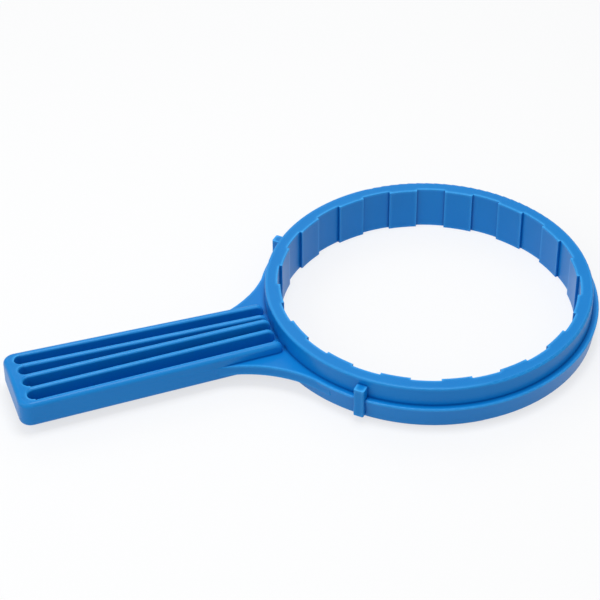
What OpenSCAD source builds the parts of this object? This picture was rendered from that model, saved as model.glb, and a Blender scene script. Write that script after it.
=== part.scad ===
// Filter housing wrench: one moulded ring spanner for a screwed filter bowl.
// A ring with grip pads inside and a flange round it carries a ribbed handle.
// Frame: millimetres, ring axis on Z, ring foot at z = 0, handle along -X.

/* [Ring] */
// Diameter across the faces of the grip pads
grip_d = 181; // [120:1:240]
// Number of grip pads round the bore
pad_count = 16; // [8:1:24]
// Part of each pitch that the pad takes
pad_share = 0.5; // [0.3:0.05:0.7]
// Depth of the recess between two pads
recess_depth = 1.7; // [0.8:0.1:3]
// Wall of the ring, from pad face to outside
ring_wall = 9.5; // [7:0.5:16]
// Height of the ring
ring_h = 28.5; // [24:0.5:40]
// Radius on the outer edges of the ring
rim_edge_r = 1.2; // [0.4:0.1:2]
// Radius on the upper edges of pads and recesses
pad_edge_r = 0.5; // [0.2:0.1:0.8]

/* [Flange] */
// How far the flange stands out from the ring
flange_out = 4.2; // [2.5:0.1:8]
// Height of the flange's top face above the ring's foot
flange_top = 16; // [13:0.5:18]
// Height of the flange's underside above the ring's foot
flange_foot = 3; // [1:0.5:5]
// How far the flange's wall leans in from top to bottom
flange_draft = 2; // [0:0.1:2.4]
// Radius on the flange's upper edge
flange_edge_r = 1; // [0.4:0.1:1.5]

/* [Posts] */
// Angle of each post from the handle's axis
post_angle = 46; // [42:0.5:75]
// Width of a post
post_w = 6.4; // [4:0.1:10]
// How far a post stands out from the flange's upper edge
post_out = 2; // [0:0.1:3]
// Height of a post's top above the ring's foot
post_top = 24; // [20:0.5:24]
// Height of a post's lower end above the ring's foot
post_foot = 4.5; // [1:0.5:7]
// Radius on the upright edges of a post
post_edge_r = 0.9; // [0.3:0.1:1.5]

/* [Handle] */
// Distance from the ring's axis to the handle's end
handle_reach = 261.5; // [200:0.5:340]
// Width of the handle at its end
handle_w_end = 49.6; // [46:0.2:60]
// Width of the handle where it meets the ring
handle_w_root = 41.4; // [40:0.2:46]
// Height of the handle's underside above the ring's foot
handle_foot = 6; // [4:0.5:8]
// Height of the side ribs' crests above the handle's underside
handle_h = 17; // [15:0.5:18]
// Rise of the handle's top from its side ribs to its middle
crown = 1.6; // [0.6:0.1:2]
// Rise of the middle rib's crest from the handle's end to the ring
crest_rise = 1.5; // [0:0.5:4]
// Thickness of the floor under the pockets
floor_t = 3.8; // [3.2:0.2:6]
// Thickness of the two side ribs
side_t = 4.4; // [4:0.1:5]
// Thickness of the three inner ribs
rib_t = 3.2; // [2.4:0.1:4]
// Spacing between the crests of a side rib and its neighbour
rib_pitch = 11.6; // [9.5:0.1:12]
// Thickness of the handle's end before the pockets start
end_wall = 6.2; // [5:0.2:12]
// Radius of the handle's upright corners at its end
corner_r = 7; // [6:0.5:10]
// Radius on the handle's outer upper edge
edge_r = 2.8; // [1.6:0.1:2.8]
// Radius on the handle's lower edge
foot_edge_r = 2.4; // [0.5:0.1:3]
// Radius of the nose in which each rib ends at the ring
nose_r = 5; // [3:0.5:6]
// Gap between the rib noses and the ring's wall
nose_gap = 2.2; // [1.5:0.1:3]

/* [Web] */
// Radius of the curve from the flange into the handle's side
web_r = 72; // [50:1:95]
// Height of the web's underside above the ring's foot
web_foot = 9.5; // [7:0.5:11]
// Radius on the web's upper edge
web_edge_r = 1; // [0.4:0.1:1.5]

/* [Hidden] */
$fn = 120;
arc_fn = 32;

// What stays flat on top of a rib between its two edge radii
crest_flat = 0.4;
// Overlap by which joined forms run into each other
lap = 0.15;
// How far a turned corner lies below the straight walls that it joins
corner_seat = 0.04;
// How far a rib starts below the top of the handle's end
rib_seat = 0.05;
// Reach of a cutting form past the face it cuts
past = 1;
// Part of a mouth's edge radius that is cut, so that it meets the face at an angle
mouth_cut = 0.85;

grip_r = grip_d / 2;
rim_r = grip_r + ring_wall;
flange_r = rim_r + flange_out;
recess_r = grip_r + recess_depth;
pitch = 360 / pad_count;
// Radius in the middle of the ring's wall, where forms from outside may end
core_r = (recess_r + rim_r) / 2;

floor_z = handle_foot + floor_t;
// Inside the floor, above its rounded edge, where the forms on the floor start
fill_z = handle_foot + (floor_t + foot_edge_r) / 2;
crest_z = handle_foot + handle_h;
rib_r = (rib_t - crest_flat) / 2;
// Radius on the inner upper edge of a side rib
side_r = min(rib_r, side_t - edge_r - crest_flat / 2);
crown_z = crest_z + crown;

// The handle's sides close in toward the ring
end_x = -handle_reach;
side_slope = (handle_w_end - handle_w_root) / 2 / (handle_reach - rim_r);
taper = atan(side_slope);
function side_y(x) = handle_w_end / 2 - side_slope * (x - end_x);
// Half width at a crest line that lies a distance in from the side
function crest_y(x, inset) = side_y(x) - inset / cos(taper);

side_inset = side_t / 2;
// From the handle's side in to the line along the top of its side rib
crest_inset = edge_r + (side_t - edge_r - side_r) / 2;
rib_inset = side_inset + rib_pitch;
corner_x = end_x + corner_r;
corner_y = side_y(corner_x) - corner_r / cos(taper);
// Where a side rib leaves the rounded corner
side_x = corner_x + (corner_r - side_inset) * sin(taper);

// Pockets start at half circles next to the end wall
outer_pocket_w = rib_pitch - side_inset - rib_t / 2;
pocket_x = end_x + end_wall + outer_pocket_w / 2;
inner_pocket_w = crest_y(pocket_x, rib_inset) - rib_t;
outer_pocket_y = crest_y(pocket_x, side_inset + (side_inset + rib_pitch - rib_t / 2) / 2);
inner_pocket_y = (inner_pocket_w + rib_t) / 2;

// The handle's end is crowned between its rounded corners
crown_half = corner_y - past;
crown_r = (pow(crown_half, 2) + pow(crown, 2)) / (2 * crown);
function top_z(y) = crown_z - crown_r + sqrt(pow(crown_r, 2) - pow(y, 2));
// The inner ribs start just below the crowned top
rib_x = pocket_x - past;
rib_crest_z = top_z(crest_y(rib_x, rib_inset) + crest_flat / 2) - rib_seat;

// Centre of the web's curve: its circle laps into the handle's side and the flange
web_lap = 0.5;
web_span = flange_r + web_r - web_lap;
function web_y(x) = side_y(x) + web_r / cos(taper) - web_lap;
web_guess = -sqrt(pow(web_span, 2) - pow(web_y(-web_span), 2));
web_cx = -sqrt(pow(web_span, 2) - pow(web_y(web_guess), 2));
web_cy = web_y(web_cx);
web_angle = atan2(web_cy, -web_cx);

// What lies outside a quarter circle, to be taken off a corner
module corner_cut(r) {
    difference() {
        square(r + past);
        circle(r, $fn = arc_fn);
    }
}

// Upright bar on the x axis with its upper corners rounded, the outer one on +x
module bar_2d(w, h, r, outer_r) {
    difference() {
        translate([-w / 2, 0]) square([w, h]);
        translate([w / 2 - outer_r, h - outer_r]) corner_cut(outer_r);
        mirror([1, 0])
            translate([w / 2 - r, h - r]) corner_cut(r);
    }
}

// Section of the ring: outer edges rounded, bore edge rounded at the top
module ring_2d() {
    difference() {
        translate([grip_r, 0]) square([ring_wall, ring_h]);
        translate([rim_r - rim_edge_r, ring_h - rim_edge_r]) corner_cut(rim_edge_r);
        translate([rim_r - rim_edge_r, rim_edge_r])
            mirror([0, 1]) corner_cut(rim_edge_r);
        translate([grip_r + pad_edge_r, ring_h - pad_edge_r])
            mirror([1, 0]) corner_cut(pad_edge_r);
    }
}

// Recess between two pads, with a flared mouth at the top
module recess_2d() {
    inside = grip_r - 2 * recess_depth;
    mouth_z = ring_h - pad_edge_r * mouth_cut;
    translate([inside, -past]) square([recess_r - inside, ring_h + 2 * past]);
    difference() {
        translate([recess_r - lap, mouth_z]) square([pad_edge_r + lap, pad_edge_r + past]);
        translate([recess_r + pad_edge_r, mouth_z]) circle(pad_edge_r, $fn = arc_fn);
    }
}

// Ring with its grip pads
module grip_ring() {
    gap_angle = pitch * (1 - pad_share);
    difference() {
        rotate_extrude() ring_2d();
        // A recess centre faces the handle
        for (i = [0 : pad_count - 1])
            rotate(180 - gap_angle / 2 + i * pitch)
                rotate_extrude(angle = gap_angle) recess_2d();
    }
}

// Flange round the ring, with drafted wall and rounded upper edge
module flange() {
    rotate_extrude()
        difference() {
            polygon([
                [core_r, flange_foot],
                [flange_r - flange_draft, flange_foot],
                [flange_r, flange_top],
                [core_r, flange_top]
            ]);
            translate([flange_r - flange_edge_r, flange_top - flange_edge_r])
                corner_cut(flange_edge_r);
        }
}

// Square post between the ring's wall and the flange's edge
module post() {
    deep = flange_r + post_out - core_r;
    translate([core_r, 0, post_foot])
        linear_extrude(post_top - post_foot)
            difference() {
                translate([0, -post_w / 2]) square([deep, post_w]);
                for (s = [0, 1])
                    mirror([0, s])
                        translate([deep - post_edge_r, post_w / 2 - post_edge_r])
                            corner_cut(post_edge_r);
            }
}

// Rounded end of a rib, from its crest down to its foot
module rib_nose(w, r, outer_r, drop) {
    rotate([90, 0, 0])
        rotate_extrude(angle = 90)
            rotate(-90) bar_2d(w, nose_r, r, outer_r);
    translate([0, 0, -drop])
        linear_extrude(drop)
            rotate(-90)
                mirror([1, 0]) bar_2d(w, nose_r, r, outer_r);
}

// Rib along +X that ends in a nose; foot_r rounds its outer lower edge
module rib(w, r, outer_r, foot, crest, length, foot_r = 0) {
    straight = length - nose_r;
    rotate([90, 0, 90])
        linear_extrude(straight)
            translate([0, foot])
                difference() {
                    bar_2d(w, crest - foot, r, outer_r);
                    if (foot_r > 0)
                        translate([w / 2 - foot_r, foot_r])
                            mirror([0, 1]) corner_cut(foot_r);
                }
    translate([straight, 0, crest - nose_r])
        rib_nose(w, r, outer_r, crest - nose_r - foot);
}

// Point on a crest line where a rib's nose ends in front of the ring
function nose_x(inset) = -sqrt(pow(rim_r + nose_gap, 2) - pow(crest_y(-rim_r, inset), 2));

// Length of a rib on a crest line, from its start to its nose
function rib_length(start_x, inset) = (nose_x(inset) - start_x) / cos(taper);

// Rib that forms one side of the handle
module side_rib() {
    translate([side_x, crest_y(side_x, side_inset), 0])
        rotate(-taper)
            rib(side_t, side_r, edge_r, handle_foot, crest_z,
                rib_length(side_x, side_inset), foot_r = foot_edge_r);
}

// Inner rib next to a side rib
module inner_rib() {
    translate([rib_x, crest_y(rib_x, rib_inset), 0])
        rotate(-taper)
            rib(rib_t, rib_r, rib_r, fill_z, rib_crest_z, rib_length(rib_x, rib_inset));
}

// Middle rib, whose crest climbs toward the ring
module middle_rib() {
    length = -rim_r - nose_gap - rib_x;
    intersection() {
        translate([rib_x, 0, crown_z - rib_seat])
            rotate([0, -atan(crest_rise / length), 0])
                rib(rib_t, rib_r, rib_r, -handle_h, 0, length);
        translate([end_x, -handle_w_end, fill_z])
            cube([handle_reach, 2 * handle_w_end, 2 * handle_h]);
    }
}

// Section of the handle's end, drawn in by a seat: rounded at the top and at the foot
module end_2d(seat = 0) {
    difference() {
        translate([0, handle_foot + seat])
            square([corner_r - seat, handle_h - 2 * seat]);
        translate([corner_r - edge_r, crest_z - edge_r]) corner_cut(edge_r - seat);
        translate([corner_r - foot_edge_r, handle_foot + foot_edge_r])
            mirror([0, 1]) corner_cut(foot_edge_r - seat);
    }
}

// End of a pocket: half round, with a rounded mouth at height z
module pocket_end(w, z) {
    b = w / 2 - lap;
    low = z - rib_r * mouth_cut;
    rotate_extrude()
        union() {
            translate([0, fill_z - lap]) square([b, z - fill_z + past]);
            difference() {
                translate([b - lap, low]) square([rib_r + lap, rib_r + past]);
                translate([b + rib_r, low]) circle(rib_r, $fn = arc_fn);
            }
        }
}

// Crown on the handle's end, turned about an axis far below along X
module end_crown() {
    deep = edge_r + past;
    cap_x = pocket_x - 2 * lap;
    half_angle = asin((corner_y - lap) / crown_r);
    translate([0, 0, crown_z - crown_r])
        rotate([0, -90, 0])
            rotate(-half_angle)
                rotate_extrude(angle = 2 * half_angle)
                    difference() {
                        translate([crown_r - deep, -cap_x]) square([deep, cap_x - end_x]);
                        translate([crown_r - edge_r, -end_x - edge_r]) corner_cut(edge_r);
                    }
}

// Block at the handle's free end, in which the four pockets start
module handle_end() {
    fill_x = corner_x - past;
    difference() {
        union() {
            for (s = [-1, 1])
                translate([corner_x, s * corner_y, 0])
                    rotate_extrude() end_2d(corner_seat);
            translate([corner_x, -corner_y, 0])
                rotate([90, 0, 180])
                    linear_extrude(2 * corner_y) end_2d();
            translate([0, 0, fill_z])
                linear_extrude(crest_z - fill_z)
                    polygon([
                        [fill_x, -crest_y(fill_x, crest_inset)],
                        [fill_x, crest_y(fill_x, crest_inset)],
                        [pocket_x, crest_y(pocket_x, crest_inset)],
                        [pocket_x, -crest_y(pocket_x, crest_inset)]
                    ]);
            end_crown();
        }
        for (s = [-1, 1]) {
            translate([pocket_x, s * outer_pocket_y, 0])
                pocket_end(outer_pocket_w, (crest_z + rib_crest_z) / 2);
            translate([pocket_x, s * inner_pocket_y, 0])
                pocket_end(inner_pocket_w, (rib_crest_z + crown_z) / 2);
        }
    }
}

// Floor of the handle between its side ribs, from its end into the ring's wall
module handle_floor() {
    start_x = corner_x - past;
    root_x = -(core_r + rim_r) / 2;
    inset = (side_t + foot_edge_r) / 2;
    translate([0, 0, handle_foot])
        linear_extrude(floor_t)
            polygon([
                [start_x, -crest_y(start_x, inset)],
                [start_x, crest_y(start_x, inset)],
                [root_x, crest_y(root_x, inset)],
                [root_x, -crest_y(root_x, inset)]
            ]);
}

// Flared cutter whose side is the web's curved wall
module web_cutter() {
    low = web_foot - past;
    high = flange_top - web_edge_r * mouth_cut;
    rotate_extrude()
        union() {
            translate([0, low]) square([web_r, flange_top + past - low]);
            difference() {
                translate([web_r - lap, high]) square([web_edge_r + lap, web_edge_r + past]);
                translate([web_r + web_edge_r, high]) circle(web_edge_r, $fn = arc_fn);
            }
        }
}

// Web on one side, between the flange and the handle
module web() {
    inner_y = crest_y(web_cx, side_inset);
    meet = flange_r - flange_out / 2;
    difference() {
        translate([0, 0, web_foot])
            linear_extrude(flange_top - web_foot)
                polygon([
                    [web_cx - web_edge_r, inner_y],
                    [web_cx + web_r / 3, side_y(web_cx) + web_r / 3],
                    [-meet * cos(web_angle + 4), meet * sin(web_angle + 4)],
                    [-core_r * cos(web_angle), core_r * sin(web_angle)],
                    [-core_r, crest_y(-core_r, side_inset)]
                ]);
        translate([web_cx, web_cy, 0]) web_cutter();
    }
}

// Flange with the two webs and the two posts
module collar() {
    flange();
    for (s = [0, 1])
        mirror([0, s, 0]) web();
    for (s = [0, 1])
        mirror([0, s, 0])
            rotate(180 - post_angle) post();
}

// Collar with the handle's floor and five ribs grown out of it
module ribbed_collar() {
    collar();
    handle_floor();
    for (s = [0, 1])
        mirror([0, s, 0]) {
            side_rib();
            inner_rib();
        }
    middle_rib();
}

module wrench_body() {
    color("steelblue")
        union() {
            grip_ring();
            ribbed_collar();
            handle_end();
        }
}

wrench_body();
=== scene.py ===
import math

import bmesh
import bpy
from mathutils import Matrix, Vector
from mathutils.bvhtree import BVHTree
from mathutils.interpolate import poly_3d_calc

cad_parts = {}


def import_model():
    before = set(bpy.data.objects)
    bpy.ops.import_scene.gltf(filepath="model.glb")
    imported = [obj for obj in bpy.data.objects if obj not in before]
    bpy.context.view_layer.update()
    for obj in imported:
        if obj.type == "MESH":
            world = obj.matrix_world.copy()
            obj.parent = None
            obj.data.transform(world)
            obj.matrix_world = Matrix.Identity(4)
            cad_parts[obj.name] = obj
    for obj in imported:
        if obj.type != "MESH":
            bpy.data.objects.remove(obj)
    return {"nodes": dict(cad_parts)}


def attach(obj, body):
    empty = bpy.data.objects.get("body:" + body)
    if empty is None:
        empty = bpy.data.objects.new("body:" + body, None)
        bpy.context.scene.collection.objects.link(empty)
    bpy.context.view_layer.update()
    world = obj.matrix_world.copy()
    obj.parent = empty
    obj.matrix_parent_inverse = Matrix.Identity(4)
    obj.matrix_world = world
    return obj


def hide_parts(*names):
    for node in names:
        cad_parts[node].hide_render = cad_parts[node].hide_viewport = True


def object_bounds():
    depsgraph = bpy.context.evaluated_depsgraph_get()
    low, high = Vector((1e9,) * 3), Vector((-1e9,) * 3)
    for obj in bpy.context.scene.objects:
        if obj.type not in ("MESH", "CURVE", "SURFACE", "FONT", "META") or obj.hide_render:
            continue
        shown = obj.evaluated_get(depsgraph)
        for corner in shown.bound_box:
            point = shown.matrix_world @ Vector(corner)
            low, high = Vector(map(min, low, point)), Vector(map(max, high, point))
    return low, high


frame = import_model()
low0, high0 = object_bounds()

# Camera that matches the photograph: place in metres, turn in degrees, lens and sensor in millimetres
CAMERA_AT = (-0.41643, -0.97461, 0.88564)
CAMERA_TURN = (50.4606, 0.1838, -19.0366)
CAMERA_LENS = 133.983
CAMERA_SENSOR = 36.0
CAMERA_CLIP = (0.05, 20.0)

# Lights: name, place, width and height in metres, power in watts
LIGHT_TARGET = (-0.05, 0.0, 0.0)
LIGHTS = (
    ("top", (-0.05, 0.0, 1.3), (0.5, 0.5), 7.2),
    ("left", (-1.1, -0.1, 0.8), (0.8, 0.8), 2.9),
    ("back", (0.0, 1.0, 0.9), (1.2, 0.6), 1.6),
    ("front", (-0.3, -1.0, 1.1), (1.0, 0.7), 1.0),
)
AMBIENT = 0.40
AMBIENT_TINT = (0.93, 0.96, 1.0, 1.0)
WHITE = (1.0, 1.0, 1.0, 1.0)

# Floor: its size, the tone that lights the part from below, and how much of its shadow the camera sees
FLOOR_SIZE = 6.0
FLOOR_TONE = (0.8, 0.8, 0.8, 1.0)
FLOOR_SHADOW = 0.30

# Handle at its free end, in metres except for the slope of its sides
HANDLE_W = 0.0496
HANDLE_SLOPE = 0.0254
SIDE_T = 0.0044
POCKET_W = 0.0078
POCKET_START = 0.0101
FLOOR_Z = 0.0098
SIDE_CREST_Z = 0.0230
RIB_CREST_Z = 0.02386
RIB_ROUND = 0.0014

# Cut that clears the outer pockets, and how its faces are told from the part's own
TRIM_LENGTH = 0.0046
TRIM_SKIN = 0.00001
ARC_STEPS = 8
MERGE_GAP = 1e-6
SHARP_ANGLE = math.radians(50.0)
SAME_FACE_GAP = 0.000004
SAME_FACE_TURN = 0.999

# Plastic: its two base tones, the painted highlight tone of outer edges and the painted shade tone of
# inner corners
TONE_LOW = (0.001, 0.222, 0.650, 1.0)
TONE_HIGH = (0.002, 0.242, 0.685, 1.0)
TONE_SPAN = (0.3, 0.7)
TONE_SCALE = 22.0
TONE_DETAIL = 3.0
EDGE_HIGHLIGHT_TONE = (0.045, 0.420, 0.930, 1.0)
CORNER_SHADE_TONE = (0.0005, 0.128, 0.480, 1.0)
RAY_SAMPLES = 8
EDGE_REACH = 0.0023
EDGE_SPAN = (0.94, 0.62)
EDGE_UP_SPAN = (-0.3, 0.6)
EDGE_UP_SHARE = (0.15, 1.0)
CORNER_REACH = 0.0025
CORNER_SPAN = (0.85, 0.52)
ROUGHNESS = (0.30, 0.40)
GRAIN_SCALE = 900.0
GRAIN_DETAIL = 2.0
GRAIN_STRENGTH = 0.08
GRAIN_DEPTH = 0.0002
SPECULAR = 0.26
IOR = 1.49

# Places of the colour sockets on a Mix node
MIX_FACTOR, MIX_A, MIX_B, MIX_RESULT = 0, 6, 7, 2


def socket(node, name, value):
    node.inputs[name].default_value = value


def noise(nt, place, scale, detail):
    """Noise over a coordinate, as a value from 0 to 1."""
    node = nt.nodes.new("ShaderNodeTexNoise")
    socket(node, "Scale", scale)
    socket(node, "Detail", detail)
    nt.links.new(place, node.inputs["Vector"])
    return node.outputs["Fac"]


def short_rays(nt, reach, inside):
    """Share of short rays that go free, cast outward or into the body."""
    node = nt.nodes.new("ShaderNodeAmbientOcclusion")
    node.inside = inside
    node.only_local = True
    node.samples = RAY_SAMPLES
    socket(node, "Distance", reach)
    return node.outputs["AO"]


def map_range(nt, value, given, wanted=(0.0, 1.0)):
    """Value carried from one range to another and held inside it."""
    node = nt.nodes.new("ShaderNodeMapRange")
    socket(node, "From Min", given[0])
    socket(node, "From Max", given[1])
    socket(node, "To Min", wanted[0])
    socket(node, "To Max", wanted[1])
    nt.links.new(value, node.inputs["Value"])
    return node.outputs["Result"]


def math_node(nt, operation, first, second):
    node = nt.nodes.new("ShaderNodeMath")
    node.operation = operation
    nt.links.new(first, node.inputs[0])
    nt.links.new(second, node.inputs[1])
    return node.outputs["Value"]


def mix_tone(nt, factor, base, tone):
    """Colour that goes from base to a fixed tone."""
    node = nt.nodes.new("ShaderNodeMix")
    node.data_type = "RGBA"
    nt.links.new(factor, node.inputs[MIX_FACTOR])
    nt.links.new(base, node.inputs[MIX_A])
    node.inputs[MIX_B].default_value = tone
    return node.outputs[MIX_RESULT]


def mix_shader(nt, first, second):
    """Mix Shader node with its two shaders linked."""
    node = nt.nodes.new("ShaderNodeMixShader")
    nt.links.new(first, node.inputs[1])
    nt.links.new(second, node.inputs[2])
    return node


def plastic():
    """Satin blue moulded plastic with faint grain, a painted highlight on outer edges and painted shade
    in inner corners.
    """
    mat = bpy.data.materials.new("blue_plastic")
    mat.use_nodes = True
    nt = mat.node_tree
    nt.nodes.clear()
    link = nt.links.new
    out = nt.nodes.new("ShaderNodeOutputMaterial")
    bsdf = nt.nodes.new("ShaderNodeBsdfPrincipled")
    link(bsdf.outputs["BSDF"], out.inputs["Surface"])
    coord = nt.nodes.new("ShaderNodeTexCoord")

    # Broad, faint change of tone from the moulding
    tone = noise(nt, coord.outputs["Object"], TONE_SCALE, TONE_DETAIL)
    ramp = nt.nodes.new("ShaderNodeValToRGB")
    for stop, place, color in zip(ramp.color_ramp.elements, TONE_SPAN, (TONE_LOW, TONE_HIGH)):
        stop.position = place
        stop.color = color
    link(tone, ramp.inputs["Fac"])

    # Painted shade in inner corners, where short rays cast outward soon meet the body
    free = short_rays(nt, CORNER_REACH, inside=False)
    corner = map_range(nt, free, CORNER_SPAN)

    # Painted highlight on outer edges, where short rays cast into the body soon leave it, most of all
    # on edges that face up and stand in the open
    edge = map_range(nt, short_rays(nt, EDGE_REACH, inside=True), EDGE_SPAN)
    axes = nt.nodes.new("ShaderNodeSeparateXYZ")
    link(coord.outputs["Normal"], axes.inputs["Vector"])
    upward = map_range(nt, axes.outputs["Z"], EDGE_UP_SPAN, EDGE_UP_SHARE)
    edge_up = math_node(nt, "MULTIPLY", edge, upward)
    edge_highlight_mask = math_node(nt, "MULTIPLY", edge_up, free)

    # Painted highlight along outer edges over the base tone
    pale = mix_tone(nt, edge_highlight_mask, ramp.outputs["Color"], EDGE_HIGHLIGHT_TONE)
    # Painted shade in inner corners over that
    painted_shade = mix_tone(nt, corner, pale, CORNER_SHADE_TONE)
    link(painted_shade, bsdf.inputs["Base Color"])

    # Roughness and a fine grain
    link(map_range(nt, tone, (0.0, 1.0), ROUGHNESS), bsdf.inputs["Roughness"])
    bump = nt.nodes.new("ShaderNodeBump")
    socket(bump, "Strength", GRAIN_STRENGTH)
    socket(bump, "Distance", GRAIN_DEPTH)
    link(noise(nt, coord.outputs["Object"], GRAIN_SCALE, GRAIN_DETAIL), bump.inputs["Height"])
    link(bump.outputs["Normal"], bsdf.inputs["Normal"])
    socket(bsdf, "Specular IOR Level", SPECULAR)
    socket(bsdf, "IOR", IOR)
    return mat


def floor_material():
    """Pale floor that the camera and reflections see as white with a faint shadow."""
    mat = bpy.data.materials.new("pale_floor")
    mat.use_nodes = True
    nt = mat.node_tree
    nt.nodes.clear()
    link = nt.links.new
    out = nt.nodes.new("ShaderNodeOutputMaterial")
    bounce = nt.nodes.new("ShaderNodeBsdfDiffuse")
    socket(bounce, "Color", FLOOR_TONE)
    white = nt.nodes.new("ShaderNodeEmission")
    socket(white, "Color", WHITE)
    socket(white, "Strength", 1.0)
    lit = nt.nodes.new("ShaderNodeBsdfDiffuse")
    socket(lit, "Color", WHITE)
    shown = mix_shader(nt, white.outputs["Emission"], lit.outputs["BSDF"])
    socket(shown, "Fac", FLOOR_SHADOW)
    path = nt.nodes.new("ShaderNodeLightPath")
    seen = math_node(nt, "MAXIMUM", path.outputs["Is Camera Ray"], path.outputs["Is Glossy Ray"])
    mix = mix_shader(nt, bounce.outputs["BSDF"], shown.outputs["Shader"])
    link(seen, mix.inputs["Fac"])
    link(mix.outputs["Shader"], out.inputs["Surface"])
    return mat


def world():
    """Soft light from all round that the camera sees as white."""
    studio = bpy.data.worlds.new("studio")
    bpy.context.scene.world = studio
    studio.use_nodes = True
    nt = studio.node_tree
    nt.nodes.clear()
    link = nt.links.new
    out = nt.nodes.new("ShaderNodeOutputWorld")
    soft = nt.nodes.new("ShaderNodeBackground")
    socket(soft, "Color", AMBIENT_TINT)
    socket(soft, "Strength", AMBIENT)
    white = nt.nodes.new("ShaderNodeBackground")
    socket(white, "Color", WHITE)
    socket(white, "Strength", 1.0)
    path = nt.nodes.new("ShaderNodeLightPath")
    mix = mix_shader(nt, soft.outputs["Background"], white.outputs["Background"])
    link(path.outputs["Is Camera Ray"], mix.inputs["Fac"])
    link(mix.outputs["Shader"], out.inputs["Surface"])


def area_light(name, place, size, power):
    """White rectangular lamp aimed at the part."""
    data = bpy.data.lights.new(name, "AREA")
    data.shape = "RECTANGLE"
    data.size, data.size_y = size
    data.energy = power
    obj = bpy.data.objects.new(name, data)
    bpy.context.scene.collection.objects.link(obj)
    obj.location = place
    aim = Vector(LIGHT_TARGET) - Vector(place)
    obj.rotation_euler = aim.to_track_quat("-Z", "Y").to_euler()


def photo_camera():
    data = bpy.data.cameras.new("photo_camera")
    data.sensor_width = CAMERA_SENSOR
    data.lens = CAMERA_LENS
    data.dof.use_dof = False
    data.clip_start, data.clip_end = CAMERA_CLIP
    obj = bpy.data.objects.new("photo_camera", data)
    bpy.context.scene.collection.objects.link(obj)
    obj.location = CAMERA_AT
    obj.rotation_euler = [math.radians(v) for v in CAMERA_TURN]
    bpy.context.scene.camera = obj


def handle_y(x, inset):
    """Half width of the tapering handle at x, a distance in from its side."""
    half = HANDLE_W / 2 - HANDLE_SLOPE * (x - low0[0])
    return half - inset * math.hypot(1.0, HANDLE_SLOPE)


def arc(centre, radius, start, end):
    """Points on an arc in a section, from one angle to another in degrees."""
    angles = [math.radians(start + (end - start) * i / ARC_STEPS) for i in range(ARC_STEPS + 1)]
    return [(centre[0] + radius * math.cos(a), centre[1] + radius * math.sin(a)) for a in angles]


def pocket_section():
    """Section of an outer pocket as (inset, z): side rib, floor, inner rib."""
    side = SIDE_T - TRIM_SKIN
    inner = SIDE_T + POCKET_W + TRIM_SKIN
    low = FLOOR_Z - TRIM_SKIN
    top = RIB_CREST_Z + RIB_ROUND
    side_arc = arc((side - RIB_ROUND, SIDE_CREST_Z - RIB_ROUND), RIB_ROUND, 90.0, 0.0)
    inner_arc = arc((inner + RIB_ROUND, RIB_CREST_Z - RIB_ROUND), RIB_ROUND, 180.0, 90.0)
    return ([(side_arc[0][0], top)] + side_arc + [(side, low), (inner, low)] + inner_arc
            + [(inner_arc[-1][0], top)])


def pocket_cutter():
    """Two bars that clear the outer pockets just past their round ends."""
    bm = bmesh.new()
    section = pocket_section()
    count = len(section)
    start = low0[0] + POCKET_START
    for side in (-1.0, 1.0):
        near, far = [
            [bm.verts.new((x, side * handle_y(x, inset), z)) for inset, z in section]
            for x in (start, start + TRIM_LENGTH)]
        for i in range(count):
            j = (i + 1) % count
            bm.faces.new((near[i], near[j], far[j], far[i]))
        bm.faces.new(near)
        bm.faces.new(far)
    bmesh.ops.recalc_face_normals(bm, faces=bm.faces)
    for face in bm.faces:
        face.smooth = True
    mesh = bpy.data.meshes.new("pocket_cutter")
    bm.to_mesh(mesh)
    bm.free()
    obj = bpy.data.objects.new("pocket_cutter", mesh)
    bpy.context.scene.collection.objects.link(obj)
    return obj


def carry_normals(shape, source):
    """Set the part's own corner normals on the cut shape; faces made by the cut keep theirs."""
    source.calc_loop_triangles()
    places = [v.co.copy() for v in source.vertices]
    triangles = [tuple(t.vertices) for t in source.loop_triangles]
    corners = [[source.corner_normals[i].vector.copy() for i in t.loops] for t in source.loop_triangles]
    tree = BVHTree.FromPolygons(places, triangles)
    normals = [n.vector.copy() for n in shape.corner_normals]
    for face in shape.polygons:
        _, facing, index, gap = tree.find_nearest(face.center)
        if gap > SAME_FACE_GAP or facing.dot(face.normal) < SAME_FACE_TURN:
            continue
        triangle = [places[i] for i in triangles[index]]
        for loop in face.loop_indices:
            at = shape.vertices[shape.loops[loop].vertex_index].co
            shares = poly_3d_calc(triangle, at)
            blend = sum((n * share for n, share in zip(corners[index], shares)), Vector())
            normals[loop] = blend.normalized()
    shape.normals_split_custom_set(normals)


def trimmed_body(node):
    """Copy of the body without the remains of the corner rounds in its outer pockets."""
    mesh = node.data.copy()
    mesh.attributes.remove(mesh.attributes["custom_normal"])
    bm = bmesh.new()
    bm.from_mesh(mesh)
    bmesh.ops.remove_doubles(bm, verts=bm.verts, dist=MERGE_GAP)
    bm.to_mesh(mesh)
    bm.free()
    piece = bpy.data.objects.new("wrench", mesh)
    bpy.context.scene.collection.objects.link(piece)
    cutter = pocket_cutter()
    trim = piece.modifiers.new("trim", "BOOLEAN")
    trim.operation = "DIFFERENCE"
    trim.solver = "EXACT"
    trim.object = cutter
    depsgraph = bpy.context.evaluated_depsgraph_get()
    shape = bpy.data.meshes.new_from_object(
        piece.evaluated_get(depsgraph), preserve_all_data_layers=True, depsgraph=depsgraph)
    piece.modifiers.clear()
    shape.set_sharp_from_angle(angle=SHARP_ANGLE)
    carry_normals(shape, node.data)
    piece.data = shape
    bpy.data.objects.remove(cutter)
    return piece


body = trimmed_body(frame["nodes"]["wrench_body"])
body.data.materials.clear()
body.data.materials.append(plastic())
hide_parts("wrench_body")
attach(body, "root")

bpy.ops.mesh.primitive_plane_add(size=FLOOR_SIZE, location=(0.0, 0.0, 0.0))
floor = bpy.context.object
floor.name = "floor"
floor.data.materials.append(floor_material())

world()
for name, place, size, power in LIGHTS:
    area_light(name, place, size, power)
photo_camera()

bpy.context.scene.view_settings.view_transform = "Standard"
